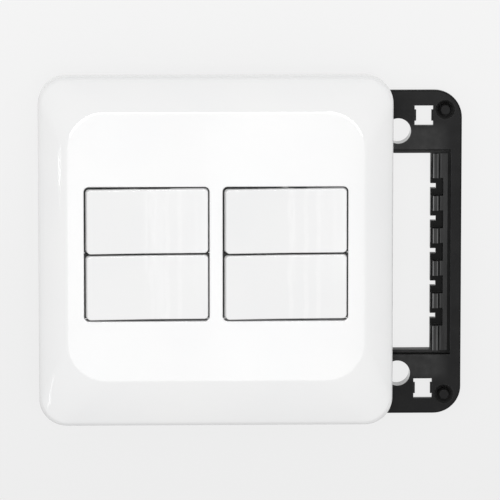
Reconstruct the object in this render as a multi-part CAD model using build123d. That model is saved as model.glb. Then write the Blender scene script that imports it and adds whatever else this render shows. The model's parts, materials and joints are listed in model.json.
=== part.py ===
from build123d import *
import os

# Four-gang light switch, in millimetres.
# X runs to the right, Y up the switch and Z out of the wall towards the user.
# The origin is the centre of the support frame's back.
# The cover plate and its four modules lie on the frame, laid aside to the left of it.

# Grid of module places
MODULE_PITCH = 22.5
MODULE_GAP = 0.5
PLACE_COUNT = 3

# Clearances
RUNNING_FIT = 0.05
WINDOW_PLAY = 0.6
SLIP_PLAY = 0.3

# Support frame
FRAME_W = 110.0
FRAME_H = 111.8
FRAME_T = 6.8
FRAME_CORNER_R = 9.4
FRAME_EDGE_R = 0.6
FRAME_SKIN = 2.0
FRAME_LIP = 1.0
FRAME_WALL = 1.8
RAIL_W = 10.4
CENTRE_BAR_W = 4.4
RECESS_BORDER = 1.45
RECESS_DEPTH = 2.0
GROOVE_W = 0.5
GROOVE_DEPTH = 1.2
FLAT_BAND_W = 3.7
SEAT_RIB_INSET = 0.65
SEAT_RIB_W = 1.85
OUTER_RIB_INSET = 3.13
OUTER_RIB_W = 2.54
OUTER_RIB_DROP = 0.9
CENTRE_RIDGE_W = 2.6
CENTRE_WEB = 0.8
POCKET_H = 6.2
POCKET_W = 4.2
POCKET_DEPTH = 1.8
POCKET_FLOOR = 1.6
SLOT_H = 1.75
SLOT_W = 1.85
FIXING_SPACING_X = 66.5
FIXING_SPACING_Y = 83.8
FIXING_R = 4.35
COLLAR_WALL = 1.3
CLIP_SPACING_X = 84.0
CLIP_INSET_Y = 8.7
CLIP_W = 6.35
CLIP_H = 6.8
CLIP_WAIST_W = 5.2
CLIP_WAIST_H = 3.8
CLIP_TAB_T = 1.0
POST_INSET_X = 5.75
POST_INSET_Y = 6.7
POST_R = 1.7
POST_RISE = 1.2
POST_EDGE_R = 0.3
POST_RING_R = 3.3
POST_RING_DEPTH = 4.4
POST_BOSS_R = 3.8
POST_BOSS_T = 5.6
STIFFENER_T = 1.4
STIFFENER_PITCH = 18.0
STIFFENER_COUNT = 3
STIFFENER_FOOT = 1.0

# Cover plate, in heights above the wall
SIDE_OVERHANG = 5.0
END_OVERHANG = 3.75
PLATE_CORNER_R = 9.4
PLATE_WALL = 2.2
RIM_Z = 6.9
SHOULDER_CROWN = 0.5
PANEL_Z = 11.8
SIDE_SLOPE = 9.5
TOP_SLOPE = 11.45
BOTTOM_SLOPE = 16.05
PANEL_CORNER_R = 13.5
PANEL_EDGE_R = 3.2
RIM_EDGE_R = 2.0
PLATE_BAR_W = 4.45
OPENING_PLAY = 0.8
OPENING_EDGE_R = 0.3
OPENING_CORNER_R = 1.7
GUIDE_T = 1.2
GUIDE_Z = 5.6
LEG_H = 5.6
LEG_TIP_Z = 0.8
LEG_SPLIT = 1.4
LEG_ROOT_Z = 7.2
SOCKET_WALL = 1.5
SOCKET_Z = 7.0

# Module housing and base, in heights above the wall
MODULE_BACK_Z = -13.0
PARTING_Z = -4.0
SIDE_WALL = 1.6
END_WALL = 1.5
WALL_TOP_Z = 8.4
FLANGE_REACH = 2.2
FLANGE_STEP = 0.45
LUG_REACH = 1.3
LUG_T = 2.4
EAR_W = 6.4
EAR_TOP_Z = 9.5
DECK_Z = 1.4
DECK_T = 1.2
DECK_HOLE_W = 8.4
DECK_HOLE_H = 6.8
DECK_HOLE_R = 1.0
BASE_CORNER_R = 0.8
BASE_FLOOR = 1.8
CORE_RIB = 4.6
SNAP_X = 13.0
SNAP_W = 3.6
SNAP_T = 1.0
SNAP_TOP_Z = -0.6
SNAP_CATCH_Z = -2.4
SNAP_CATCH = 0.9
WIRE_ENTRY = 3.2
WIRE_Y = 3.6

# Rocker
END_GAP = 0.3
ROCKER_GAP = 0.65
FACE_RISE = 0.8
FACE_SAG = 0.55
FACE_BLEND_R = 110.0
SKIRT_DEPTH = 2.5
ROCKER_WALL = 1.3
ROCKER_ROOF = 1.05
ROCKER_CORNER_R = 1.3
ROCKER_EDGE_R = 0.45
PIVOT_Z = 7.6
TRUNNION_R = 1.25
CHEEK_T = 1.5
CHEEK_TOP_W = 9.0
CHEEK_R = 2.6
BOSS_R = 3.2
BOSS_BORE_R = 2.1
BOSS_TIP_Z = 3.6
SPRING_SEAT_Z = 10.2
ROCKER_TILT = 3.5

# Plunger, spring and contacts
PLUNGER_R = 1.95
PLUNGER_TOP_Z = 6.0
PLUNGER_NECK_Z = 2.9
NOSE_R = 1.2
NOSE_TIP_Z = -0.3
SPRING_R = 1.6
SPRING_WIRE_R = 0.22
SPRING_TURNS = 4
FULCRUM_R = 1.0
CONTACT_TILT = 4.9
CONTACT_L = 17.0
CONTACT_W = 5.2
CONTACT_T = 0.8
SADDLE_R = 1.7
SADDLE_PLAY = 0.08
PLUNGER_GAP = 0.3
TIP_X = 7.2
TIP_R = 1.1
TIP_T = 0.5
FIXED_TIP_T = 0.28
TERMINAL_T = 1.0
TERMINAL_END_GAP = 1.8
TERMINAL_PAD_L = 7.2
TERMINAL_H = 10.8
SCREW_R = 1.75
SCREW_HEAD_R = 3.0
SCREW_HEAD_T = 2.0
SCREW_SUNK = 0.6
SCREW_SLOT_W = 0.9
SCREW_ACCESS_R = 3.4
CLAMP_W = 6.6
CLAMP_T = 1.2
CLAMP_Z = -8.6
CLAMP_PLAY = 1.3

# How the front unit lies on the frame
LAID_ASIDE_X = 29.4
LAID_ASIDE_Y = 3.4

# Sizes that follow from the ones above
WINDOW_EDGE_X = FRAME_W / 2 - RAIL_W
WINDOW_W = WINDOW_EDGE_X - CENTRE_BAR_W / 2
WINDOW_H = PLACE_COUNT * MODULE_PITCH + WINDOW_PLAY
COLUMN_PITCH = WINDOW_W + CENTRE_BAR_W
RECESS_W = FRAME_W - 2 * FLAT_BAND_W
RECESS_H = WINDOW_H + 2 * RECESS_BORDER
RECESS_Z = FRAME_T - RECESS_DEPTH
GROOVE_Z = RECESS_Z - GROOVE_DEPTH
POCKET_Z = RECESS_Z - POCKET_DEPTH
SKIN_Z = FRAME_T - FRAME_SKIN
PLATE_W = FRAME_W + 2 * SIDE_OVERHANG
PLATE_H = FRAME_H + 2 * END_OVERHANG
PANEL_W = PLATE_W - 2 * SIDE_SLOPE
PANEL_H = PLATE_H - TOP_SLOPE - BOTTOM_SLOPE
PANEL_RAISED_Y = (BOTTOM_SLOPE - TOP_SLOPE) / 2
OPENING_W = COLUMN_PITCH - PLATE_BAR_W
OPENING_H = 2 * MODULE_PITCH + OPENING_PLAY
INNER_PANEL_Z = PANEL_Z - PLATE_WALL
FACE_Z = PANEL_Z + FACE_RISE
MODULE_L = WINDOW_W - 2 * SLIP_PLAY
MODULE_W = MODULE_PITCH - MODULE_GAP
CAVITY_L = MODULE_L - 2 * END_WALL
CAVITY_W = MODULE_W - 2 * SIDE_WALL
ROCKER_W = MODULE_PITCH - ROCKER_GAP
ROCKER_END_R = ((OPENING_W / 2 - END_GAP) ** 2 + (INNER_PANEL_Z - PIVOT_Z) ** 2) ** 0.5
SKIRT_Z = FACE_Z - SKIRT_DEPTH
ROOF_Z = FACE_Z - FACE_SAG - ROCKER_ROOF
CONTACT_TOP_Z = NOSE_TIP_Z - PLUNGER_GAP
FULCRUM_Z = CONTACT_TOP_Z - SADDLE_R
TERMINAL_Z = PARTING_Z + TERMINAL_T
TERMINAL_END_X = CAVITY_L / 2 - TERMINAL_END_GAP
TERMINAL_NECK_X = TERMINAL_END_X - TERMINAL_PAD_L
SCREW_X = TERMINAL_END_X - TERMINAL_PAD_L / 2
CORE_HALF_W = SCREW_X - CLAMP_W / 2 - CLAMP_PLAY
SCREW_BACK_Z = MODULE_BACK_Z + SCREW_SUNK
LIFT = FRAME_T - MODULE_BACK_Z
FRONT_UNIT = Pos(-LAID_ASIDE_X, LAID_ASIDE_Y, LIFT)
COLUMN_SPOTS = list(GridLocations(COLUMN_PITCH, 0, 2, 1))
SCREW_SPOTS = list(GridLocations(2 * SCREW_X, 0, 2, 1))
FIXING_SPOTS = list(GridLocations(FIXING_SPACING_X, FIXING_SPACING_Y, 2, 2))
CLIP_SPOTS = list(GridLocations(CLIP_SPACING_X, FRAME_H - 2 * CLIP_INSET_Y, 2, 2))
POST_SPOTS = list(GridLocations(FRAME_W - 2 * POST_INSET_X, FRAME_H - 2 * POST_INSET_Y, 2, 2))
MODULES = {
    "top_left": (-1, 1),
    "top_right": (1, 1),
    "bottom_left": (-1, -1),
    "bottom_right": (1, -1),
}


def slab(outline, bottom, top):
    """A flat outline carried up from one height to another."""
    return Pos(0, 0, bottom) * extrude(outline, top - bottom, dir=(0, 0, 1))


def bar(profile, back, front):
    """A profile drawn in X and Z, carried along Y."""
    return Pos(0, back, 0) * extrude(Plane.XZ * profile, front - back, dir=(0, 1, 0))


def between(x0, x1, y0, y1):
    """A rectangle given by its four sides."""
    return Pos((x0 + x1) / 2, (y0 + y1) / 2) * Rectangle(x1 - x0, y1 - y0)


def pattern(outline, spots):
    """Copies of an outline, one at each spot."""
    return Sketch() + [spot * outline for spot in spots]


def tilted(piece, angle, height):
    """A piece turned about a line along Y at the given height."""
    return Pos(0, 0, height) * Rot(0, angle, 0) * Pos(0, 0, -height) * piece


def support_frame():
    """The black moulding that is screwed to the wall box and takes the modules."""
    outline = RectangleRounded(FRAME_W, FRAME_H, FRAME_CORNER_R)
    skirting = offset(outline, -FRAME_LIP)
    frame = slab(outline, SKIN_Z, FRAME_T)
    frame = fillet(frame.faces().sort_by(Axis.Z)[-1].edges(), FRAME_EDGE_R)
    frame += slab(skirting - offset(skirting, -FRAME_WALL), 0, SKIN_Z)

    # Sunk tray round the windows, with walls down to the wall box
    windows = pattern(Rectangle(WINDOW_W, WINDOW_H), COLUMN_SPOTS)
    tray = Rectangle(RECESS_W + 2 * FRAME_WALL, RECESS_H + 2 * FRAME_WALL)
    frame += slab(tray, POCKET_Z - POCKET_FLOOR, FRAME_T - FRAME_EDGE_R)
    window_walls = Rectangle(2 * (WINDOW_EDGE_X + FRAME_WALL), WINDOW_H + 2 * FRAME_WALL)
    frame += slab(window_walls, 0, RECESS_Z)
    frame -= slab(Rectangle(RECESS_W, RECESS_H), RECESS_Z, FRAME_T)

    # Ribs along the rails, the ridge between the columns and a groove at each end of the tray
    for side in (-1, 1):
        seat_x = side * (WINDOW_EDGE_X + SEAT_RIB_INSET + SEAT_RIB_W / 2)
        outer_x = side * (WINDOW_EDGE_X + OUTER_RIB_INSET + OUTER_RIB_W / 2)
        seat_rib = Pos(seat_x, 0) * Rectangle(SEAT_RIB_W, WINDOW_H)
        outer_rib = Pos(outer_x, 0) * Rectangle(OUTER_RIB_W, WINDOW_H)
        frame += slab(seat_rib, RECESS_Z, FRAME_T)
        frame += slab(outer_rib, RECESS_Z, FRAME_T - OUTER_RIB_DROP)
    frame += slab(Rectangle(CENTRE_RIDGE_W, RECESS_H), RECESS_Z, FRAME_T)
    groove_spots = GridLocations(0, RECESS_H - GROOVE_W, 1, 2)
    frame -= slab(pattern(Rectangle(RECESS_W, GROOVE_W), groove_spots), GROOVE_Z, FRAME_T)

    # Pockets for the module lugs, half a place apart, and their slots
    place_count = 2 * PLACE_COUNT - 1
    rail_spots = list(GridLocations(2 * WINDOW_EDGE_X, MODULE_PITCH / 2, 2, place_count))
    ridge_spots = list(GridLocations(0, MODULE_PITCH / 2, 1, place_count))
    rail_pocket = Rectangle(2 * POCKET_W, POCKET_H)
    ridge_pocket = between(CENTRE_WEB / 2, COLUMN_PITCH / 2, -POCKET_H / 2, POCKET_H / 2)
    ridge_pockets = ridge_pocket + mirror(ridge_pocket, Plane.YZ)
    frame -= slab(pattern(rail_pocket, rail_spots), POCKET_Z, FRAME_T)
    frame -= slab(pattern(ridge_pockets, ridge_spots), POCKET_Z, FRAME_T)
    frame -= slab(pattern(Rectangle(2 * SLOT_W, SLOT_H), rail_spots), 0, FRAME_T)
    frame -= slab(windows, 0, FRAME_T)

    # Stiffeners behind the top and bottom bands
    skirting_h = FRAME_H - 2 * FRAME_LIP
    stiffener = Rectangle(STIFFENER_T, (skirting_h - RECESS_H) / 2 - FRAME_WALL)
    band_pitch = (skirting_h + RECESS_H) / 2
    stiffener_spots = GridLocations(STIFFENER_PITCH, band_pitch, STIFFENER_COUNT, 2)
    frame += slab(pattern(stiffener, stiffener_spots), STIFFENER_FOOT, SKIN_Z)

    # Fixing holes in full-depth collars
    frame += slab(pattern(Circle(FIXING_R + COLLAR_WALL), FIXING_SPOTS), 0, SKIN_Z)
    frame -= slab(pattern(Circle(FIXING_R), FIXING_SPOTS), 0, FRAME_T)

    # Clip holes with a catch tab on each side
    frame -= slab(pattern(Rectangle(CLIP_W, CLIP_H), CLIP_SPOTS), 0, FRAME_T)
    tabs = Rectangle(CLIP_W, CLIP_WAIST_H) - Rectangle(CLIP_WAIST_W, CLIP_WAIST_H)
    frame += slab(pattern(tabs, CLIP_SPOTS), SKIN_Z, SKIN_Z + CLIP_TAB_T)

    # Corner posts in their flared rings
    ring_z = FRAME_T - POST_RING_DEPTH
    frame += slab(pattern(Circle(POST_BOSS_R), POST_SPOTS), FRAME_T - POST_BOSS_T, SKIN_Z)
    ring_profile = Polygon(
        (0, ring_z),
        (POST_R, ring_z),
        (POST_RING_R, FRAME_T),
        (0, FRAME_T),
        align=None,
    )
    ring = revolve(Plane.XZ * ring_profile, Axis.Z)
    post = slab(Circle(POST_R), ring_z, FRAME_T + POST_RISE)
    post = fillet(post.faces().sort_by(Axis.Z)[-1].edges(), POST_EDGE_R)
    for spot in POST_SPOTS:
        frame -= spot * ring
        frame += spot * post
    return frame


def plate_section(share, inset, height):
    """Outline of the plate's shoulder: share 0 is the rim and 1 is the raised panel."""
    width = PLATE_W + share * (PANEL_W - PLATE_W) - 2 * inset
    length = PLATE_H + share * (PANEL_H - PLATE_H) - 2 * inset
    corner = PLATE_CORNER_R + share * (PANEL_CORNER_R - PLATE_CORNER_R) - inset
    return Pos(0, share * PANEL_RAISED_Y, height) * RectangleRounded(width, length, corner)


def plate_form(inset, rim_z, panel_z, crown):
    """The rim with the sloping shoulder above it, solid; crown is how far the slope swells out."""
    heights = (rim_z, (rim_z + panel_z) / 2 + crown, panel_z)
    sections = [plate_section(step / 2, inset, height) for step, height in enumerate(heights)]
    return slab(plate_section(0, inset, 0), 0, rim_z) + loft(sections)


def snap_leg():
    """One split leg with a barb on each side, standing behind the plate."""
    half = CLIP_WAIST_W / 2 - SLIP_PLAY
    catch_z = SKIN_Z - SLIP_PLAY
    prong = Polygon(
        (LEG_SPLIT / 2, PANEL_Z),
        (half, PANEL_Z),
        (half, catch_z),
        (half + SLIP_PLAY + (CLIP_W - CLIP_WAIST_W) / 4, catch_z),
        (half - SLIP_PLAY, LEG_TIP_Z),
        (LEG_SPLIT / 2, LEG_TIP_Z),
        align=None,
    )
    prong = bar(prong, -LEG_H / 2, LEG_H / 2)
    root = bar(between(-half, half, LEG_ROOT_Z, PANEL_Z), -LEG_H / 2, LEG_H / 2)
    return prong + mirror(prong, Plane.YZ) + root


def cover_plate():
    """The white front moulding with its raised panel and two openings."""
    form = plate_form(0, RIM_Z, PANEL_Z, SHOULDER_CROWN)
    form = fillet(form.faces().sort_by(Axis.Z)[-1].edges(), PANEL_EDGE_R)
    # Edge groups from the wall outwards: foot, corner seams, rim
    rim_edges = form.edges().group_by(Axis.Z)[2]
    form = fillet(rim_edges, RIM_EDGE_R)
    plate = form - plate_form(PLATE_WALL, RIM_Z - PLATE_WALL / 2, INNER_PANEL_Z, 0)

    # Guide walls behind the upper and lower edge of each opening
    guide_spots = GridLocations(COLUMN_PITCH, OPENING_H + GUIDE_T, 2, 2)
    plate += slab(pattern(Rectangle(OPENING_W, GUIDE_T), guide_spots), GUIDE_Z, INNER_PANEL_Z)

    # Snap legs for the frame's clip holes and sockets for its corner posts
    leg = snap_leg()
    for spot in CLIP_SPOTS:
        plate += spot * leg & form
    socket = Circle(POST_R + SLIP_PLAY + SOCKET_WALL) - Circle(POST_R + SLIP_PLAY)
    plate += slab(pattern(socket, POST_SPOTS), SOCKET_Z, INNER_PANEL_Z) & form

    opening = RectangleRounded(OPENING_W, OPENING_H, OPENING_CORNER_R)
    plate -= slab(pattern(opening, COLUMN_SPOTS), 0, PANEL_Z)
    front = plate.faces().sort_by(Axis.Z)[-1]
    return fillet(front.inner_wires().edges(), OPENING_EDGE_R)


def module_housing():
    """Front moulding of a module: sleeve, end flanges, clip lugs and the rocker's bearings."""
    half = MODULE_L / 2
    tip = half + FLANGE_REACH
    step = half + FLANGE_STEP
    end_profile = Polygon(
        (half - END_WALL, PARTING_Z),
        (half, PARTING_Z),
        (half, POCKET_Z),
        (half + LUG_REACH, POCKET_Z + LUG_REACH / 2),
        (half + LUG_REACH, POCKET_Z + LUG_T),
        (half, POCKET_Z + LUG_T),
        (half, FRAME_T),
        (tip, FRAME_T),
        (tip, INNER_PANEL_Z),
        (step, INNER_PANEL_Z),
        (step, WALL_TOP_Z),
        (half - END_WALL, WALL_TOP_Z),
        align=None,
    )
    lug_half = (POCKET_H - SLIP_PLAY) / 2
    ends = bar(end_profile, -MODULE_W / 2, MODULE_W / 2)
    beside_lug = bar(between(half, tip, POCKET_Z, POCKET_Z + LUG_T), lug_half, MODULE_W)
    ends -= beside_lug
    ends -= mirror(beside_lug, Plane.XZ)
    housing = ends + mirror(ends, Plane.YZ)

    # Long walls with a raised ear round each bearing
    wall = between(-half, half, PARTING_Z, WALL_TOP_Z)
    wall += between(-EAR_W / 2, EAR_W / 2, WALL_TOP_Z, EAR_TOP_Z)
    wall -= Pos(0, PIVOT_Z) * Circle(TRUNNION_R + RUNNING_FIT)
    window_z = SNAP_CATCH_Z - SLIP_PLAY
    snap_window = between(-SNAP_W / 2 - SLIP_PLAY, SNAP_W / 2 + SLIP_PLAY, window_z, SNAP_TOP_Z)
    for side in (-1, 1):
        wall -= Pos(side * SNAP_X, 0) * snap_window
    for side in (-1, 1):
        middle = side * (MODULE_W - SIDE_WALL) / 2
        housing += bar(wall, middle - SIDE_WALL / 2, middle + SIDE_WALL / 2)

    # Deck between the rocker and the contacts, open for the plunger
    deck = Rectangle(CAVITY_L, CAVITY_W) - RectangleRounded(DECK_HOLE_W, DECK_HOLE_H, DECK_HOLE_R)
    housing += slab(deck, DECK_Z, DECK_Z + DECK_T)
    return housing


def snap_tongue():
    """Barbed tongue of the base that springs into the housing's window."""
    inner = CAVITY_W / 2 - SNAP_T
    outer = CAVITY_W / 2 - SLIP_PLAY / 3
    root = CAVITY_W / 2 + SIDE_WALL / 4
    tongue = Polygon(
        (inner, PARTING_Z - 2 * SNAP_T),
        (root, PARTING_Z - 3 * SNAP_T),
        (root, PARTING_Z),
        (outer, PARTING_Z),
        (outer, SNAP_CATCH_Z),
        (outer + SNAP_CATCH, SNAP_CATCH_Z),
        (outer, SNAP_TOP_Z - SLIP_PLAY),
        (inner, SNAP_TOP_Z - SLIP_PLAY),
        align=None,
    )
    return Pos(-SNAP_W / 2, 0, 0) * extrude(Plane.YZ * tongue, SNAP_W, dir=(1, 0, 0))


def module_base():
    """Rear moulding of a module: two terminal chambers round a cored middle."""
    base = slab(RectangleRounded(MODULE_L, MODULE_W, BASE_CORNER_R), MODULE_BACK_Z, PARTING_Z)
    floor_z = MODULE_BACK_Z + BASE_FLOOR
    chamber = between(CORE_HALF_W, CAVITY_L / 2, -CAVITY_W / 2, CAVITY_W / 2)
    core = between(-CORE_HALF_W + END_WALL, CORE_HALF_W - END_WALL, CORE_RIB, CAVITY_W / 2)
    hollows = chamber + mirror(chamber, Plane.YZ) + core + mirror(core, Plane.XZ)
    base -= slab(hollows, floor_z, PARTING_Z)
    base -= slab(pattern(Circle(SCREW_ACCESS_R), SCREW_SPOTS), MODULE_BACK_Z, floor_z)
    entry = between(-MODULE_L, MODULE_L, WIRE_Y - WIRE_ENTRY / 2, WIRE_Y + WIRE_ENTRY / 2)
    end_walls = Rectangle(MODULE_L, MODULE_W) - Rectangle(CAVITY_L, MODULE_W)
    entries = (entry + mirror(entry, Plane.XZ)) & end_walls
    base -= slab(entries, PARTING_Z - WIRE_ENTRY, PARTING_Z)
    for side in (-1, 1):
        tongue = Pos(side * SNAP_X, 0, 0) * snap_tongue()
        base += tongue
        base += mirror(tongue, Plane.XZ)
    return base


def rocker_reach(height):
    """How far the rocker's ends, round about the pivot, reach from it at a height."""
    return (ROCKER_END_R**2 - (height - PIVOT_Z) ** 2) ** 0.5


def rocker():
    """The key: a dished cap with two cheeks, their trunnions and the plunger's boss."""
    top = rocker_reach(FACE_Z)
    middle_z = (FACE_Z + SKIRT_Z) / 2
    middle = rocker_reach(middle_z)
    foot = rocker_reach(SKIRT_Z)
    face = FilletPolyline((-top, FACE_Z), (0, FACE_Z - FACE_SAG), (top, FACE_Z), radius=FACE_BLEND_R)
    right_end = ThreePointArc((top, FACE_Z), (middle, middle_z), (foot, SKIRT_Z))
    skirt = Line((foot, SKIRT_Z), (-foot, SKIRT_Z))
    left_end = ThreePointArc((-foot, SKIRT_Z), (-middle, middle_z), (-top, FACE_Z))
    cap = bar(make_face(face + right_end + skirt + left_end), -ROCKER_W / 2, ROCKER_W / 2)
    ends = cap.faces().sort_by(Axis.X)
    corners = (ends[0].edges() + ends[-1].edges()).filter_by(Axis.Y, reverse=True)
    cap = fillet(corners, ROCKER_CORNER_R)

    # The outline of the face is rounded; the two lines where its flats meet the blend are not
    upper_edges = cap.edges().filter_by(lambda edge: edge.center().Z > ROOF_Z)
    face_lines = upper_edges.filter_by(Axis.Y).filter_by(lambda edge: abs(edge.center().X) < top / 2)
    cap = fillet([edge for edge in upper_edges if edge not in face_lines], ROCKER_EDGE_R)
    hollow_l = 2 * (foot - ROCKER_WALL)
    cap -= slab(Rectangle(hollow_l, ROCKER_W - 2 * ROCKER_WALL), SKIRT_Z, ROOF_Z)

    cheek = Polygon(
        (-CHEEK_TOP_W / 2, ROOF_Z),
        (-CHEEK_R, PIVOT_Z),
        (CHEEK_R, PIVOT_Z),
        (CHEEK_TOP_W / 2, ROOF_Z),
        align=None,
    )
    cheek += Pos(0, PIVOT_Z) * Circle(CHEEK_R)
    outer_y = CAVITY_W / 2 - SLIP_PLAY
    pin_end = MODULE_W / 2 - RUNNING_FIT
    cheek = bar(cheek, outer_y - CHEEK_T, outer_y)
    cheek += bar(Pos(0, PIVOT_Z) * Circle(TRUNNION_R), outer_y, pin_end)
    cap += cheek
    cap += mirror(cheek, Plane.XZ)

    boss = Circle(BOSS_R) + Rectangle(ROCKER_WALL, 2 * outer_y - CHEEK_T)
    cap += slab(Circle(BOSS_R), BOSS_TIP_Z, ROOF_Z)
    cap += slab(boss, PIVOT_Z, ROOF_Z)
    cap -= slab(Circle(BOSS_BORE_R), BOSS_TIP_Z, SPRING_SEAT_Z)
    return cap


def plunger():
    """Round-nosed pin that the spring drives onto the rocking contact."""
    nose_z = NOSE_TIP_Z + NOSE_R
    outline = Polyline(
        (0, PLUNGER_TOP_Z),
        (PLUNGER_R, PLUNGER_TOP_Z),
        (PLUNGER_R, PLUNGER_NECK_Z),
        (NOSE_R, PLUNGER_NECK_Z - PLUNGER_R + NOSE_R),
        (NOSE_R, nose_z),
    )
    nose = RadiusArc((NOSE_R, nose_z), (0, NOSE_TIP_Z), NOSE_R)
    axis = Line((0, NOSE_TIP_Z), (0, PLUNGER_TOP_Z))
    return revolve(Plane.XZ * make_face(outline + nose + axis), Axis.Z)


def plunger_spring():
    """Coil spring between the plunger and the boss's end."""
    height = SPRING_SEAT_Z - PLUNGER_TOP_Z - 2 * SPRING_WIRE_R
    coil = Helix(height / SPRING_TURNS, height, SPRING_R)
    wire = Plane(coil @ 0, z_dir=coil % 0) * RegularPolygon(SPRING_WIRE_R, 6)
    return Pos(0, 0, PLUNGER_TOP_Z + SPRING_WIRE_R) * sweep(wire, path=coil, is_frenet=True)


def rocking_contact():
    """Contact strip with a saddle that rocks on the fulcrum and a tip at its right end."""
    strip = between(-CONTACT_L / 2, CONTACT_L / 2, CONTACT_TOP_Z - CONTACT_T, CONTACT_TOP_Z)
    saddle = Pos(0, FULCRUM_Z) * Circle(SADDLE_R)
    profile = strip + saddle - Pos(0, FULCRUM_Z) * Circle(FULCRUM_R + SADDLE_PLAY)
    profile -= between(-SADDLE_R, SADDLE_R, FULCRUM_Z - SADDLE_R, FULCRUM_Z)
    contact = bar(profile, -CONTACT_W / 2, CONTACT_W / 2)
    tip_top = CONTACT_TOP_Z - CONTACT_T
    return contact + slab(Pos(TIP_X, 0) * Circle(TIP_R), tip_top - TIP_T, tip_top)


def terminal_blade(inner_x):
    """Flat brass blade from inner_x to the wire clamp on the right, with its screw hole."""
    neck = between(inner_x, TERMINAL_END_X, -CONTACT_W / 2, CONTACT_W / 2)
    pad = between(TERMINAL_NECK_X, TERMINAL_END_X, -TERMINAL_H / 2, TERMINAL_H / 2)
    return slab(neck + pad - Pos(SCREW_X, 0) * Circle(SCREW_R + RUNNING_FIT), PARTING_Z, TERMINAL_Z)


def common_terminal():
    """Left blade, with the fulcrum that the contact rocks on."""
    blade = mirror(terminal_blade(-SADDLE_R), Plane.YZ)
    fulcrum = Pos(0, FULCRUM_Z) * Circle(FULCRUM_R)
    fulcrum += between(-FULCRUM_R, FULCRUM_R, PARTING_Z, FULCRUM_Z)
    return blade + bar(fulcrum, -CONTACT_W / 2, CONTACT_W / 2)


def switched_terminal():
    """Right blade, with the fixed contact tip."""
    tip = slab(Pos(TIP_X, 0) * Circle(TIP_R), TERMINAL_Z, TERMINAL_Z + FIXED_TIP_T)
    return terminal_blade(TIP_X - 2 * TIP_R) + tip


def terminal_screws():
    """Two slotted screws that face the back."""
    head_z = SCREW_BACK_Z + SCREW_HEAD_T
    screw = slab(Circle(SCREW_HEAD_R), SCREW_BACK_Z, head_z)
    screw += slab(Circle(SCREW_R), head_z, TERMINAL_Z)
    slot = Rectangle(2 * SCREW_HEAD_R, SCREW_SLOT_W)
    screw -= slab(slot, SCREW_BACK_Z, SCREW_BACK_Z + SCREW_HEAD_T / 2)
    return Compound(children=[spot * screw for spot in SCREW_SPOTS])


def clamp_plates():
    """Two plates that the screws draw up against the wires."""
    plate = Rectangle(CLAMP_W, TERMINAL_H) - Circle(SCREW_R + RUNNING_FIT)
    clamp = slab(plate, CLAMP_Z, CLAMP_Z + CLAMP_T)
    return Compound(children=[spot * clamp for spot in SCREW_SPOTS])


def module_pieces():
    """Every piece of one module, with its right rocker end pressed in."""
    return {
        "housing": module_housing(),
        "base": module_base(),
        "rocker": tilted(rocker(), ROCKER_TILT, PIVOT_Z),
        "plunger": tilted(plunger(), ROCKER_TILT, PIVOT_Z),
        "spring": tilted(plunger_spring(), ROCKER_TILT, PIVOT_Z),
        "rocking_contact": tilted(rocking_contact(), -CONTACT_TILT, FULCRUM_Z),
        "common_terminal": common_terminal(),
        "switched_terminal": switched_terminal(),
        "terminal_screws": terminal_screws(),
        "clamp_plates": clamp_plates(),
    }


os.makedirs("parts", exist_ok=True)
export_step(support_frame(), "parts/support_frame.step")
export_step(FRONT_UNIT * cover_plate(), "parts/cover_plate.step")
pieces = module_pieces()
for place, (column, row) in MODULES.items():
    centre = FRONT_UNIT * Pos(column * COLUMN_PITCH / 2, row * MODULE_PITCH / 2, 0)
    for name, piece in pieces.items():
        export_step(centre * piece, f"parts/{name}_{place}.step")
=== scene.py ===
"""Looks of the four-gang light switch: finishes, floor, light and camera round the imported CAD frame."""
import json
import math

import bpy
from mathutils import Matrix, Quaternion, Vector


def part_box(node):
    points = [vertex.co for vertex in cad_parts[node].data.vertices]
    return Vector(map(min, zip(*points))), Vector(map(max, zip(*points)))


MM = 0.001

# Camera: nearly straight down on the switch, leaning a little to its top and to its left, in degrees
IMAGE_PX = 500
CAMERA_DISTANCE = 1.8
CAMERA_LEAN_RIGHT = -1.5
CAMERA_LEAN_UP = 8.6
CAMERA_AIM = Vector((-17.15, 0.02, 0.0)) * MM
CAMERA_CLIP = (0.05, 50.0)
PX_PER_MM = 2.913
SENSOR_MM = 36.0

# Materials: widths over which a zone ends beside a middle and at a height, and how fine the nodes work
ZONE_SOFT = 0.05 * MM
HEIGHT_SOFT = 0.2 * MM
NOISE_ROUGHNESS = 0.55
EDGE_SAMPLES = 4

# White mouldings: lowest and highest of colour and roughness, and the sizes of their clouds and patches
WHITES = ((0.865, 0.867, 0.87), (0.885, 0.885, 0.883))
WHITE_CLOUD = 30 * MM
WHITE_ROUGHNESS = (0.04, 0.07)
WHITE_PATCH = 9 * MM
WHITE_PATCH_STRETCH = (1.0, 0.35, 1.0)
WHITE_IOR = 1.5
RIPPLE_SIZE = 2.5 * MM
RIPPLE_DEPTH = 0.003 * MM

# Cover plate: corner radius, and the width and radius of the roll-off along its rim
PLATE_CORNER_R = 9.4 * MM
RIM_ROLL_W = 2.3 * MM
RIM_ROLL_R = 10.0 * MM

# Rockers: long shallow waves of the moulding, and lighter lines painted as reflection streaks, sized as
# shares of the rocker
KEY_WAVE_SHARE = 0.075
KEY_WAVE_STRETCH = (1.0, 0.04, 1.0)
KEY_WAVE_DEPTH = 0.012 * MM
REFLECTION_STREAKS = (0.537, 0.662, 0.757)
REFLECTION_STREAK_HALF = 0.010
REFLECTION_STREAK_SOFT = 0.014
REFLECTION_STREAK_WHITE = (0.907, 0.907, 0.907)
REFLECTION_STREAK_WANDER = 0.012
REFLECTION_STREAK_WANDER_SHARE = 0.6
REFLECTION_STREAK_BREAK_SHARE = 0.25
REFLECTION_STREAK_FAINTEST = 0.4

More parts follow.
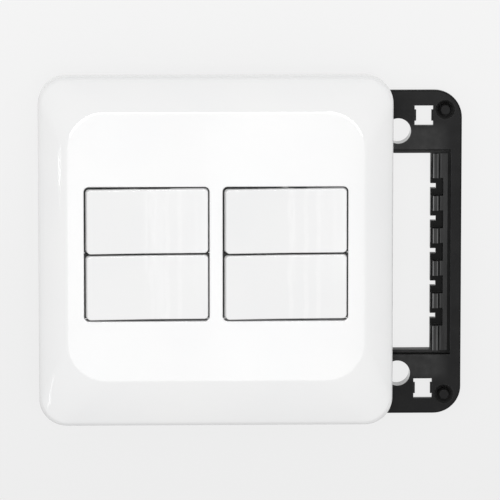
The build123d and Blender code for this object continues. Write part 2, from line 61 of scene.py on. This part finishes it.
# Frame: lowest and highest of colour and roughness, and its cloud, flow, grain and softened edges
FRAME_BLACKS = ((0.010, 0.010, 0.0103), (0.0165, 0.0165, 0.0168))
FRAME_CLOUD = 12 * MM
FRAME_ROUGHNESS = (0.26, 0.38)
FRAME_FLOW = 6 * MM
FRAME_FLOW_STRETCH = (0.3, 1.0, 1.0)
FRAME_SPECULAR = 0.06
FRAME_GRAIN = 0.35 * MM
FRAME_GRAIN_DEPTH = 0.02 * MM
FRAME_GRAIN_STRENGTH = 0.6
FRAME_EDGE_R = 0.2 * MM
# Frame's recesses, below this height, darkened in the colour as painted shade
RECESS_SHADE_GREYS = (0.002, 0.005)
RECESS_TOP_Z = 5.2 * MM
# Frame's ground at the ends of the windows, lighter by a painted sheen: reach from the middle, distance and
# half width
ENDS_SHEEN_GREYS = (0.024, 0.040)
ENDS_SHEEN_PATCH = 4 * MM
ENDS_REACH = 46.4 * MM
ENDS_REACH_SOFT = 4.6 * MM
ENDS_MIDDLE = 37.6 * MM
ENDS_HALF = 4.4 * MM
ENDS_HALF_SOFT = 3 * MM
GROOVE_TOP_Z = 4.6 * MM
# Frame's ribs: distance from the middle, half width, and the lighter greys painted on them: painted sheen
# on their tops, painted highlights along their edges
RIB_SHEEN_BANDS = (
    (46.2 * MM, 1.0 * MM, (0.030, 0.052)),
    (45.42 * MM, 0.13 * MM, (0.18, 0.27)),
    (46.88 * MM, 0.13 * MM, (0.10, 0.15)),
    (49.0 * MM, 1.4 * MM, (0.024, 0.040)),
    (47.95 * MM, 0.15 * MM, (0.045, 0.07)),
)
RIBS_HALF = 34.1 * MM
RIB_TOPS_Z = 5.4 * MM
SHEEN_STREAK = 1.6 * MM
SHEEN_STRETCH = (1.0, 0.12, 1.0)
# Lighter grey in the rings round the frame's posts
POST_PLACE = (49.25 * MM, 49.2 * MM)
POST_RING_R = 3.3 * MM
POST_RING_TOP_Z = 6.6 * MM
POST_RING_GREYS = (0.036, 0.054)
# Lighter outer edges, painted edge highlights and edge wear: how wide, how sharp as the cosine of the turn,
# and how patchy
EDGE_HIGHLIGHT_AND_WEAR_COLOURS = ((0.05, 0.05, 0.051), (0.085, 0.085, 0.086))
EDGE_HIGHLIGHT_AND_WEAR_R = 0.35 * MM
EDGE_HIGHLIGHT_AND_WEAR_TURN = (0.86, 0.98)
EDGE_HIGHLIGHT_AND_WEAR_PATCH = 2.0 * MM
EDGE_HIGHLIGHT_AND_WEAR_FAINTEST = 0.35
# Frame's fixing holes, whose bores are polished by the core pins
BORE_PLACE = (33.25 * MM, 41.9 * MM)
BORE_R = 4.4 * MM
BORE_COAT_ROUGHNESS = 0.04

# Hidden plastics: darkest and lightest colour
PLASTICS = {
    "housing_grey": ((0.040, 0.041, 0.042), (0.055, 0.056, 0.057)),
    "base_grey": ((0.32, 0.33, 0.34), (0.37, 0.38, 0.39)),
    "plunger_white": ((0.70, 0.70, 0.67), (0.76, 0.76, 0.73)),
}
PLASTIC_CLOUD = 8 * MM
PLASTIC_ROUGHNESS = (0.42, 0.6)
PLASTIC_PATCH = 3 * MM
PLASTIC_GRAIN = 0.3 * MM
PLASTIC_GRAIN_DEPTH = 0.015 * MM
PLASTIC_EDGE_R = 0.15 * MM

# Hidden metals: darkest and lightest colour, then lowest and highest roughness
METALS = {
    "spring_steel": ((0.55, 0.55, 0.56), (0.63, 0.63, 0.63), (0.2, 0.32)),
    "contact_copper": ((0.62, 0.33, 0.21), (0.72, 0.42, 0.28), (0.22, 0.38)),
    "terminal_brass": ((0.66, 0.47, 0.19), (0.76, 0.57, 0.27), (0.2, 0.36)),
    "screw_steel": ((0.56, 0.56, 0.57), (0.66, 0.66, 0.66), (0.18, 0.3)),
    "clamp_steel": ((0.55, 0.55, 0.55), (0.65, 0.65, 0.64), (0.22, 0.36)),
}
METAL_STAIN = 4 * MM
METAL_LINES = 0.2 * MM
METAL_LINES_STRETCH = (1.0, 0.05, 1.0)
METAL_LINES_DEPTH = 0.004 * MM
METAL_EDGE_R = 0.08 * MM
HIDDEN_RELIEF_STRENGTH = 0.5

# Floor: its white falls off a little towards the bottom of the picture, over the width of the fade.
# The light that it throws back falls off more, from far to near over the bounce's fade
FLOOR_SIZE = 12.0
FLOOR_FADE = 0.17
FLOOR_FAR = 0.908
FLOOR_NEAR = 0.853
FLOOR_SELF_LIGHT = 0.92
BOUNCE_FADE = (-0.078, -0.030)
BOUNCE_FAR = 0.98
BOUNCE_NEAR = 0.38

# Light, as radiance: 1 makes a white surface white
DOME_ZENITH = 0.91
DOME_HORIZON = 0.40
DOME_TILT = (-0.09, 0.30)
KEY_LIGHT = 9.5
KEY_PLACE = (0.0, 0.12, 2.4)
KEY_SIZE = (1.0, 0.5)
# Cards that the flat panel and the pressed halves of the rockers mirror
CARD_HEIGHT = 3.0
PANEL_CARD_LIGHT = 2.62
PANEL_CARD_Y = -0.44
PANEL_CARD_LENGTH = 0.36
# Each of the panel's cards: middle, width, and the share of light that is left at its right side
PANEL_CARDS = {
    "panel_card_left": (-0.051, 0.148, 0.62),
    "panel_card_right": (0.0955, 0.145, 0.70),
}
ROCKER_CARD_LIGHT = 1.75
ROCKER_CARD_Y = -0.395
ROCKER_CARD_SIZE = (0.031, 0.16)
ROCKER_CARDS = {"left_card": 0.2335, "right_card": 0.357}
# Slim lamps for glints: place, size, radiance and turn in degrees
LEFT_GLINT_PLACE = (-2.41, -0.419, 2.4)
LEFT_GLINT_SIZE = (0.32, 0.014)
LEFT_GLINT_LIGHT = 14.4
LEFT_GLINT_TURN = 8.0
CORNER_GLINT_PLACE = (-2.0, -1.34, 2.4)
CORNER_GLINT_SIZE = (0.13, 0.95)
CORNER_GLINT_LIGHT = 3.6
CORNER_GLINT_TURN = 36.9


def node(tree, kind, **settings):
    """A new node with the given settings."""
    made = tree.nodes.new(kind)
    for name, value in settings.items():
        setattr(made, name, value)
    return made


def feed(tree, socket, value):
    """Links an output to a socket, or sets a plain value on it."""
    if isinstance(value, bpy.types.NodeSocket):
        tree.links.new(value, socket)
    else:
        socket.default_value = value


def maths(tree, operation, first, second=0.0, clamp=False):
    """Result of an operation on one or two numbers."""
    made = node(tree, "ShaderNodeMath", operation=operation, use_clamp=clamp)
    feed(tree, made.inputs[0], first)
    feed(tree, made.inputs[1], second)
    return made.outputs["Value"]


def vector_maths(tree, operation, first, second=(0.0, 0.0, 0.0)):
    """Result of an operation on one or two vectors."""
    made = node(tree, "ShaderNodeVectorMath", operation=operation)
    feed(tree, made.inputs[0], first)
    feed(tree, made.inputs[1], second)
    return made.outputs["Vector"]


def times(tree, first, second):
    """Product of two numbers."""
    return maths(tree, "MULTIPLY", first, second)


def plus(tree, first, second):
    """Sum of two numbers."""
    return maths(tree, "ADD", first, second)


def axes(tree, space="Object"):
    """The shaded place's coordinates: metres in Object space, shares of the piece in Generated."""
    place = node(tree, "ShaderNodeTexCoord")
    along = node(tree, "ShaderNodeSeparateXYZ")
    tree.links.new(place.outputs[space], along.inputs["Vector"])
    return along.outputs["X"], along.outputs["Y"], along.outputs["Z"]


def noise(tree, size, detail=3.0, stretch=(1.0, 1.0, 1.0), space="Object"):
    """Noise with features about as wide as size: metres in Object space, shares in Generated."""
    place = node(tree, "ShaderNodeTexCoord")
    scale = node(tree, "ShaderNodeMapping")
    scale.inputs["Scale"].default_value = stretch
    grain = node(tree, "ShaderNodeTexNoise")
    grain.inputs["Scale"].default_value = 1.0 / size
    grain.inputs["Detail"].default_value = detail
    grain.inputs["Roughness"].default_value = NOISE_ROUGHNESS
    tree.links.new(place.outputs[space], scale.inputs["Vector"])
    tree.links.new(scale.outputs["Vector"], grain.inputs["Vector"])
    return grain.outputs["Fac"]


def between_values(tree, factor, low, high, start=0.3, end=0.7):
    """Number that runs from low to high as the factor goes from start to end."""
    span = node(tree, "ShaderNodeMapRange")
    span.inputs["From Min"].default_value = start
    span.inputs["From Max"].default_value = end
    span.inputs["To Min"].default_value = low
    span.inputs["To Max"].default_value = high
    tree.links.new(factor, span.inputs["Value"])
    return span.outputs["Result"]


def between_colours(tree, factor, low, high, start=0.3, end=0.7):
    """Colour that runs from low to high as the factor goes from start to end."""
    ramp = node(tree, "ShaderNodeValToRGB")
    first, last = ramp.color_ramp.elements
    first.position = start
    first.color = (*low, 1.0)
    last.position = end
    last.color = (*high, 1.0)
    tree.links.new(factor, ramp.inputs["Fac"])
    return ramp.outputs["Color"]


def between_greys(tree, factor, low, high, start=0.3, end=0.7):
    """Grey that runs from low to high as the factor goes from start to end."""
    return between_colours(tree, factor, (low, low, low), (high, high, high), start, end)


def away(tree, value, middle):
    """How far a number's size is from the middle."""
    size = maths(tree, "ABSOLUTE", value)
    return maths(tree, "ABSOLUTE", maths(tree, "SUBTRACT", size, middle))


def near(tree, value, middle, reach, soft=ZONE_SOFT):
    """1 where a number's size is within reach of the middle, falling to 0 over the soft width."""
    return between_values(tree, away(tree, value, middle), 1.0, 0.0, reach, reach + soft)


def above(tree, value, height):
    """0 below a height and 1 above it."""
    return between_values(tree, value, 0.0, 1.0, height - HEIGHT_SOFT, height + HEIGHT_SOFT)


def below(tree, value, height):
    """1 below a height and 0 above it."""
    return between_values(tree, value, 1.0, 0.0, height - HEIGHT_SOFT, height + HEIGHT_SOFT)


def distance(tree, first, second):
    """Length of the two sides together."""
    sides = node(tree, "ShaderNodeCombineXYZ")
    tree.links.new(first, sides.inputs["X"])
    tree.links.new(second, sides.inputs["Y"])
    made = node(tree, "ShaderNodeVectorMath", operation="LENGTH")
    tree.links.new(sides.outputs["Vector"], made.inputs[0])
    return made.outputs["Value"]


def overlay(tree, factor, under, over):
    """One colour laid over another by a factor."""
    made = node(tree, "ShaderNodeMix", data_type="RGBA")
    tree.links.new(factor, made.inputs["Factor"])
    feed(tree, made.inputs["A"], under)
    feed(tree, made.inputs["B"], over)
    return made.outputs["Result"]


def bump(tree, height, depth, strength=1.0, normal=None):
    """Surface relief of the given depth, in metres."""
    relief = node(tree, "ShaderNodeBump")
    relief.inputs["Strength"].default_value = strength
    relief.inputs["Distance"].default_value = depth
    tree.links.new(height, relief.inputs["Height"])
    if normal is not None:
        tree.links.new(normal, relief.inputs["Normal"])
    return relief.outputs["Normal"]


def rounded_edges(tree, radius):
    """Shading normal with softened edges."""
    bevel = node(tree, "ShaderNodeBevel", samples=EDGE_SAMPLES)
    bevel.inputs["Radius"].default_value = radius
    return bevel.outputs["Normal"]


def sharp_edges(tree, radius, start, end):
    """1 on sharp outer edges and 0 on flat faces."""
    surface = node(tree, "ShaderNodeNewGeometry")
    alike = node(tree, "ShaderNodeVectorMath", operation="DOT_PRODUCT")
    tree.links.new(rounded_edges(tree, radius), alike.inputs[0])
    tree.links.new(surface.outputs["Normal"], alike.inputs[1])
    return between_values(tree, alike.outputs["Value"], 1.0, 0.0, start, end)


def rim_roll(tree, low, high):
    """Height of a plate's face that rolls off towards its rounded outline between two corners."""
    place = node(tree, "ShaderNodeTexCoord")
    from_middle = vector_maths(tree, "SUBTRACT", place.outputs["Object"], (low + high) / 2)
    core = (high - low) / 2 - Vector((PLATE_CORNER_R, PLATE_CORNER_R, 0.0))
    past_core = vector_maths(tree, "SUBTRACT", vector_maths(tree, "ABSOLUTE", from_middle), core)
    sides = node(tree, "ShaderNodeSeparateXYZ")
    tree.links.new(vector_maths(tree, "MAXIMUM", past_core), sides.inputs["Vector"])
    reach = distance(tree, sides.outputs["X"], sides.outputs["Y"])
    start = PLATE_CORNER_R - RIM_ROLL_W
    into_rim = between_values(tree, reach, 0.0, RIM_ROLL_W, start, PLATE_CORNER_R)
    return times(tree, times(tree, into_rim, into_rim), -0.5 / RIM_ROLL_R)


def reflection_streaks(tree, places):
    """1 on faint lines at the given shares of a moulding's width: painted reflection streaks."""
    across = axes(tree, "Generated")[0]
    drift = noise(tree, REFLECTION_STREAK_WANDER_SHARE, space="Generated")
    share = plus(tree, across, between_values(tree, drift, -REFLECTION_STREAK_WANDER, REFLECTION_STREAK_WANDER))
    breaks = noise(tree, REFLECTION_STREAK_BREAK_SHARE, space="Generated")
    broken = between_values(tree, breaks, REFLECTION_STREAK_FAINTEST, 1.0)
    painted_streaks = 0.0
    for middle in places:
        painted_streak = near(tree, share, middle, REFLECTION_STREAK_HALF, REFLECTION_STREAK_SOFT)
        painted_streaks = plus(tree, times(tree, painted_streak, broken), painted_streaks)
    return painted_streaks


def material(name):
    """A new node material and its Principled shader."""
    made = bpy.data.materials.new(name)
    made.use_nodes = True
    shader = made.node_tree.nodes["Principled BSDF"]
    return made, shader


def gloss_white(name, wave_depth=None, painted_streaks=(), outline=None):
    """Polished white plastic: a rocker's has waves and painted reflection streaks, a plate's a rim that
    rolls off.
    """
    made, shader = material(name)
    tree = made.node_tree
    colour = between_colours(tree, noise(tree, WHITE_CLOUD, detail=4.0), *WHITES)
    # Painted reflection streaks: lighter lines in the rocker's white
    if painted_streaks:
        colour = overlay(tree, reflection_streaks(tree, painted_streaks), colour, (*REFLECTION_STREAK_WHITE, 1.0))
    tree.links.new(colour, shader.inputs["Base Color"])
    rubbed = noise(tree, WHITE_PATCH, detail=5.0, stretch=WHITE_PATCH_STRETCH)
    roughness = between_values(tree, rubbed, *WHITE_ROUGHNESS)
    tree.links.new(roughness, shader.inputs["Roughness"])
    normal = None
    if wave_depth is not None:
        wave = noise(tree, KEY_WAVE_SHARE, 0.5, KEY_WAVE_STRETCH, "Generated")
        normal = bump(tree, wave, wave_depth)
    normal = bump(tree, noise(tree, RIPPLE_SIZE, detail=2.0), RIPPLE_DEPTH, normal=normal)
    if outline is not None:
        normal = bump(tree, rim_roll(tree, *outline), 1.0, normal=normal)
    tree.links.new(normal, shader.inputs["Normal"])
    shader.inputs["IOR"].default_value = WHITE_IOR
    return made


def window_ends(tree, x, y, z):
    """1 on the frame's ground beyond the ends of its windows."""
    along = near(tree, x, 0.0, ENDS_REACH, ENDS_REACH_SOFT)
    across = near(tree, y, ENDS_MIDDLE, ENDS_HALF, ENDS_HALF_SOFT)
    return times(tree, times(tree, along, across), above(tree, z, GROOVE_TOP_Z))


def post_rings(tree, x, y, z):
    """1 in the rings round the frame's posts."""
    from_post = distance(tree, away(tree, x, POST_PLACE[0]), away(tree, y, POST_PLACE[1]))
    return times(tree, near(tree, from_post, 0.0, POST_RING_R), below(tree, z, POST_RING_TOP_Z))


def edge_highlights_and_wear(tree):
    """1 on the frame's sharp outer edges, in patches: painted edge highlights and edge wear."""
    patches = between_values(tree, noise(tree, EDGE_HIGHLIGHT_AND_WEAR_PATCH), EDGE_HIGHLIGHT_AND_WEAR_FAINTEST, 1.0)
    return times(tree, sharp_edges(tree, EDGE_HIGHLIGHT_AND_WEAR_R, *EDGE_HIGHLIGHT_AND_WEAR_TURN), patches)


def frame_colour(tree, x, y, z):
    """Black of the frame: painted shade in its recesses, painted sheen on the ground at the window ends and
    on the rib tops, painted highlights along the rib edges, lighter grey in the rings round the posts, and
    painted edge highlights and edge wear on its sharp edges.
    """
    cloud = noise(tree, FRAME_CLOUD, detail=5.0)
    colour = between_colours(tree, cloud, *FRAME_BLACKS)
    # Painted shade: the recesses are darker
    recess_shade = between_greys(tree, cloud, *RECESS_SHADE_GREYS)
    colour = overlay(tree, below(tree, z, RECESS_TOP_Z), colour, recess_shade)
    # Painted sheen: lighter ground beyond the ends of the windows
    ends_sheen = between_greys(tree, noise(tree, ENDS_SHEEN_PATCH, detail=5.0), *ENDS_SHEEN_GREYS)
    colour = overlay(tree, window_ends(tree, x, y, z), colour, ends_sheen)
    streak = noise(tree, SHEEN_STREAK, detail=4.0, stretch=SHEEN_STRETCH)
    # Painted sheen on the rib tops and painted highlights along their edges
    rib_tops = times(tree, near(tree, y, 0.0, RIBS_HALF), above(tree, z, RIB_TOPS_Z))
    for middle, half, greys in RIB_SHEEN_BANDS:
        rib = times(tree, rib_tops, near(tree, x, middle, half))
        colour = overlay(tree, rib, colour, between_greys(tree, streak, *greys))
    # Lighter grey in the rings round the posts
    ring_grey = between_greys(tree, cloud, *POST_RING_GREYS)
    colour = overlay(tree, post_rings(tree, x, y, z), colour, ring_grey)
    # Painted edge highlights and edge wear on the sharp outer edges
    edge_highlight_and_wear_colour = between_colours(tree, streak, *EDGE_HIGHLIGHT_AND_WEAR_COLOURS)
    return overlay(tree, edge_highlights_and_wear(tree), colour, edge_highlight_and_wear_colour)


def satin_black(name):
    """Black moulded plastic of the frame, with a fine grain and polished bores."""
    made, shader = material(name)
    tree = made.node_tree
    x, y, z = axes(tree)
    tree.links.new(frame_colour(tree, x, y, z), shader.inputs["Base Color"])
    flow = noise(tree, FRAME_FLOW, detail=4.0, stretch=FRAME_FLOW_STRETCH)
    tree.links.new(between_values(tree, flow, *FRAME_ROUGHNESS), shader.inputs["Roughness"])
    edges = rounded_edges(tree, FRAME_EDGE_R)
    grain = noise(tree, FRAME_GRAIN)
    normal = bump(tree, grain, FRAME_GRAIN_DEPTH, FRAME_GRAIN_STRENGTH, edges)
    tree.links.new(normal, shader.inputs["Normal"])
    shader.inputs["Specular IOR Level"].default_value = FRAME_SPECULAR
    from_hole = distance(tree, away(tree, x, BORE_PLACE[0]), away(tree, y, BORE_PLACE[1]))
    tree.links.new(near(tree, from_hole, 0.0, BORE_R), shader.inputs["Coat Weight"])
    shader.inputs["Coat Roughness"].default_value = BORE_COAT_ROUGHNESS
    return made


def matt_plastic(name, low, high):
    """Plain technical plastic of the hidden mouldings."""
    made, shader = material(name)
    tree = made.node_tree
    colour = between_colours(tree, noise(tree, PLASTIC_CLOUD, detail=5.0), low, high)
    tree.links.new(colour, shader.inputs["Base Color"])
    roughness = between_values(tree, noise(tree, PLASTIC_PATCH), *PLASTIC_ROUGHNESS)
    tree.links.new(roughness, shader.inputs["Roughness"])
    edges = rounded_edges(tree, PLASTIC_EDGE_R)
    grain = noise(tree, PLASTIC_GRAIN)
    normal = bump(tree, grain, PLASTIC_GRAIN_DEPTH, HIDDEN_RELIEF_STRENGTH, edges)
    tree.links.new(normal, shader.inputs["Normal"])
    return made


def metal(name, low, high, roughness):
    """Bare or plated metal with fine drawing lines."""
    made, shader = material(name)
    tree = made.node_tree
    colour = between_colours(tree, noise(tree, METAL_STAIN, detail=5.0), low, high)
    tree.links.new(colour, shader.inputs["Base Color"])
    lines = noise(tree, METAL_LINES, stretch=METAL_LINES_STRETCH)
    tree.links.new(between_values(tree, lines, *roughness), shader.inputs["Roughness"])
    edges = rounded_edges(tree, METAL_EDGE_R)
    normal = bump(tree, lines, METAL_LINES_DEPTH, HIDDEN_RELIEF_STRENGTH, edges)
    tree.links.new(normal, shader.inputs["Normal"])
    shader.inputs["Metallic"].default_value = 1.0
    return made


def finishes():
    """One material for each material slot of the record."""
    made = {
        "plate_white": gloss_white("plate_white", outline=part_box("cover_plate")),
        "key_white": gloss_white("key_white", KEY_WAVE_DEPTH, REFLECTION_STREAKS),
        "frame_black": satin_black("frame_black"),
    }
    for name, colours in PLASTICS.items():
        made[name] = matt_plastic(name, *colours)
    for name, (low, high, roughness) in METALS.items():
        made[name] = metal(name, low, high, roughness)
    return made


def dress(frame, materials):
    """Gives every CAD node the finish of its slot."""
    slots = {row["node"]: row["material_slot"] for row in frame["record"]["subparts"]}
    for name, piece in frame["nodes"].items():
        piece.data.materials.clear()
        piece.data.materials.append(materials[slots[name]])


def floor_white():
    """Pale floor finish: the eye and mirrors see mostly its own white, with the object's shadow on it."""
    made = bpy.data.materials.new("floor")
    made.use_nodes = True
    tree = made.node_tree
    tree.nodes.clear()
    up = axes(tree)[1]
    fade = between_values(tree, up, 0.0, 1.0, -FLOOR_FADE / 2, FLOOR_FADE / 2)
    white = between_greys(tree, fade, FLOOR_NEAR, FLOOR_FAR, 0.0, 1.0)
    bounce_fade = between_values(tree, up, 0.0, 1.0, *BOUNCE_FADE)
    bounce = between_greys(tree, bounce_fade, BOUNCE_NEAR, BOUNCE_FAR, 0.0, 1.0)

    path = node(tree, "ShaderNodeLightPath")
    seen = plus(tree, path.outputs["Is Camera Ray"], path.outputs["Is Glossy Ray"])
    seen = maths(tree, "ADD", seen, path.outputs["Is Transmission Ray"], clamp=True)
    lit = node(tree, "ShaderNodeBsdfDiffuse")
    tree.links.new(overlay(tree, seen, bounce, white), lit.inputs["Color"])
    shown = node(tree, "ShaderNodeEmission")
    tree.links.new(white, shown.inputs["Color"])
    mix = node(tree, "ShaderNodeMixShader")
    tree.links.new(times(tree, seen, FLOOR_SELF_LIGHT), mix.inputs["Fac"])
    tree.links.new(lit.outputs["BSDF"], mix.inputs[1])
    tree.links.new(shown.outputs["Emission"], mix.inputs[2])
    out = node(tree, "ShaderNodeOutputMaterial")
    tree.links.new(mix.outputs["Shader"], out.inputs["Surface"])
    return made


def make_floor():
    """Wide flat floor under the switch."""
    half = FLOOR_SIZE / 2
    corners = [(-half, -half, 0), (half, -half, 0), (half, half, 0), (-half, half, 0)]
    mesh = bpy.data.meshes.new("floor")
    mesh.from_pydata(corners, [], [(0, 1, 2, 3)])
    mesh.materials.append(floor_white())
    floor = bpy.data.objects.new("floor", mesh)
    bpy.context.scene.collection.objects.link(floor)


def make_world():
    """Studio dome: brighter overhead than at the horizon, where one side is lighter than the other."""
    world = bpy.data.worlds.new("studio")
    world.use_nodes = True
    tree = world.node_tree
    sky = tree.nodes["Background"]
    sky.inputs["Color"].default_value = (1.0, 1.0, 1.0, 1.0)
    x, y, z = axes(tree, "Generated")
    strength = between_values(tree, z, DOME_HORIZON, DOME_ZENITH, 0.0, 1.0)
    low = between_values(tree, z, 1.0, 0.0, 0.0, 1.0)
    low = times(tree, low, times(tree, low, low))
    for side, tilt in zip((x, y), DOME_TILT):
        strength = plus(tree, times(tree, times(tree, side, low), tilt), strength)
    tree.links.new(strength, sky.inputs["Strength"])
    bpy.context.scene.world = world


def softbox(name, place, aim, size, radiance, fade=1.0, turn=0.0):
    """Rectangular lamp that faces a point: radiance is how bright it looks, fade its right side's share."""
    width, length = size
    lamp = bpy.data.lights.new(name, "AREA")
    lamp.shape = "RECTANGLE"
    lamp.size = width
    lamp.size_y = length
    lamp.energy = radiance * math.pi * width * length
    lamp.use_nodes = True
    tree = lamp.node_tree
    surface = node(tree, "ShaderNodeNewGeometry")
    across = node(tree, "ShaderNodeSeparateXYZ")
    tree.links.new(surface.outputs["Parametric"], across.inputs["Vector"])
    strength = between_values(tree, across.outputs["X"], 1.0, fade, 0.0, 1.0)
    tree.links.new(strength, tree.nodes["Emission"].inputs["Strength"])
    box = bpy.data.objects.new(name, lamp)
    box.location = place
    box.rotation_mode = "QUATERNION"
    facing = (Vector(aim) - Vector(place)).to_track_quat("-Z", "Y")
    box.rotation_quaternion = facing @ Quaternion((0.0, 0.0, 1.0), math.radians(turn))
    box.visible_camera = False
    bpy.context.scene.collection.objects.link(box)


def level_lamp(name, place, size, radiance, fade=1.0, turn=0.0):
    """Rectangular lamp that faces straight down."""
    x, y, z = place
    softbox(name, place, (x, y, 0.0), size, radiance, fade, turn)


def make_lamps():
    """A wide key light towards the top of the switch, and the cards that the panel and rockers mirror."""
    softbox("key", KEY_PLACE, (0.0, 0.0, 0.0), KEY_SIZE, KEY_LIGHT)
    for name, (middle, width, fade) in PANEL_CARDS.items():
        place = (middle, PANEL_CARD_Y, CARD_HEIGHT)
        level_lamp(name, place, (width, PANEL_CARD_LENGTH), PANEL_CARD_LIGHT, fade)
    for name, middle in ROCKER_CARDS.items():
        place = (middle, ROCKER_CARD_Y, CARD_HEIGHT)
        level_lamp(name, place, ROCKER_CARD_SIZE, ROCKER_CARD_LIGHT)


def make_glints():
    """Two slim lamps far to the left: the plate's left slope and its lower corner mirror them as glints."""
    level_lamp("left_glint", LEFT_GLINT_PLACE, LEFT_GLINT_SIZE, LEFT_GLINT_LIGHT, turn=LEFT_GLINT_TURN)
    level_lamp(
        "corner_glint", CORNER_GLINT_PLACE, CORNER_GLINT_SIZE, CORNER_GLINT_LIGHT, turn=CORNER_GLINT_TURN
    )


def make_camera():
    """The photograph's viewpoint."""
    lean_right = math.sin(math.radians(CAMERA_LEAN_RIGHT))
    lean_up = math.sin(math.radians(CAMERA_LEAN_UP))
    back = Vector((lean_right, lean_up, 0.0))
    back.z = math.sqrt(1.0 - back.length_squared)
    right = Vector((0.0, 1.0, 0.0)).cross(back).normalized()
    up = back.cross(right)
    lens = bpy.data.cameras.new("camera")
    lens.sensor_width = SENSOR_MM
    lens.lens = PX_PER_MM / MM * CAMERA_DISTANCE * SENSOR_MM / IMAGE_PX
    lens.clip_start, lens.clip_end = CAMERA_CLIP
    camera = bpy.data.objects.new("camera", lens)
    turn = Matrix((right, up, back)).transposed().to_4x4()
    camera.matrix_world = Matrix.Translation(CAMERA_AIM + back * CAMERA_DISTANCE) @ turn
    bpy.context.scene.collection.objects.link(camera)
    bpy.context.scene.camera = camera


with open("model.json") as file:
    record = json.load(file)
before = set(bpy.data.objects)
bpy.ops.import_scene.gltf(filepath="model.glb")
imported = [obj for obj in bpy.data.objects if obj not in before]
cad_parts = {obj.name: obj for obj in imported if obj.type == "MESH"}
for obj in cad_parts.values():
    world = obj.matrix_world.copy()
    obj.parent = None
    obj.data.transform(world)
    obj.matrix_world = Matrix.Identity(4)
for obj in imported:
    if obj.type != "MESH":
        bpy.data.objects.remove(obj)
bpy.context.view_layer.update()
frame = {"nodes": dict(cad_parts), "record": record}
dress(frame, finishes())
make_floor()
make_world()
make_lamps()
make_glints()
make_camera()
bpy.context.scene.view_settings.view_transform = "Standard"
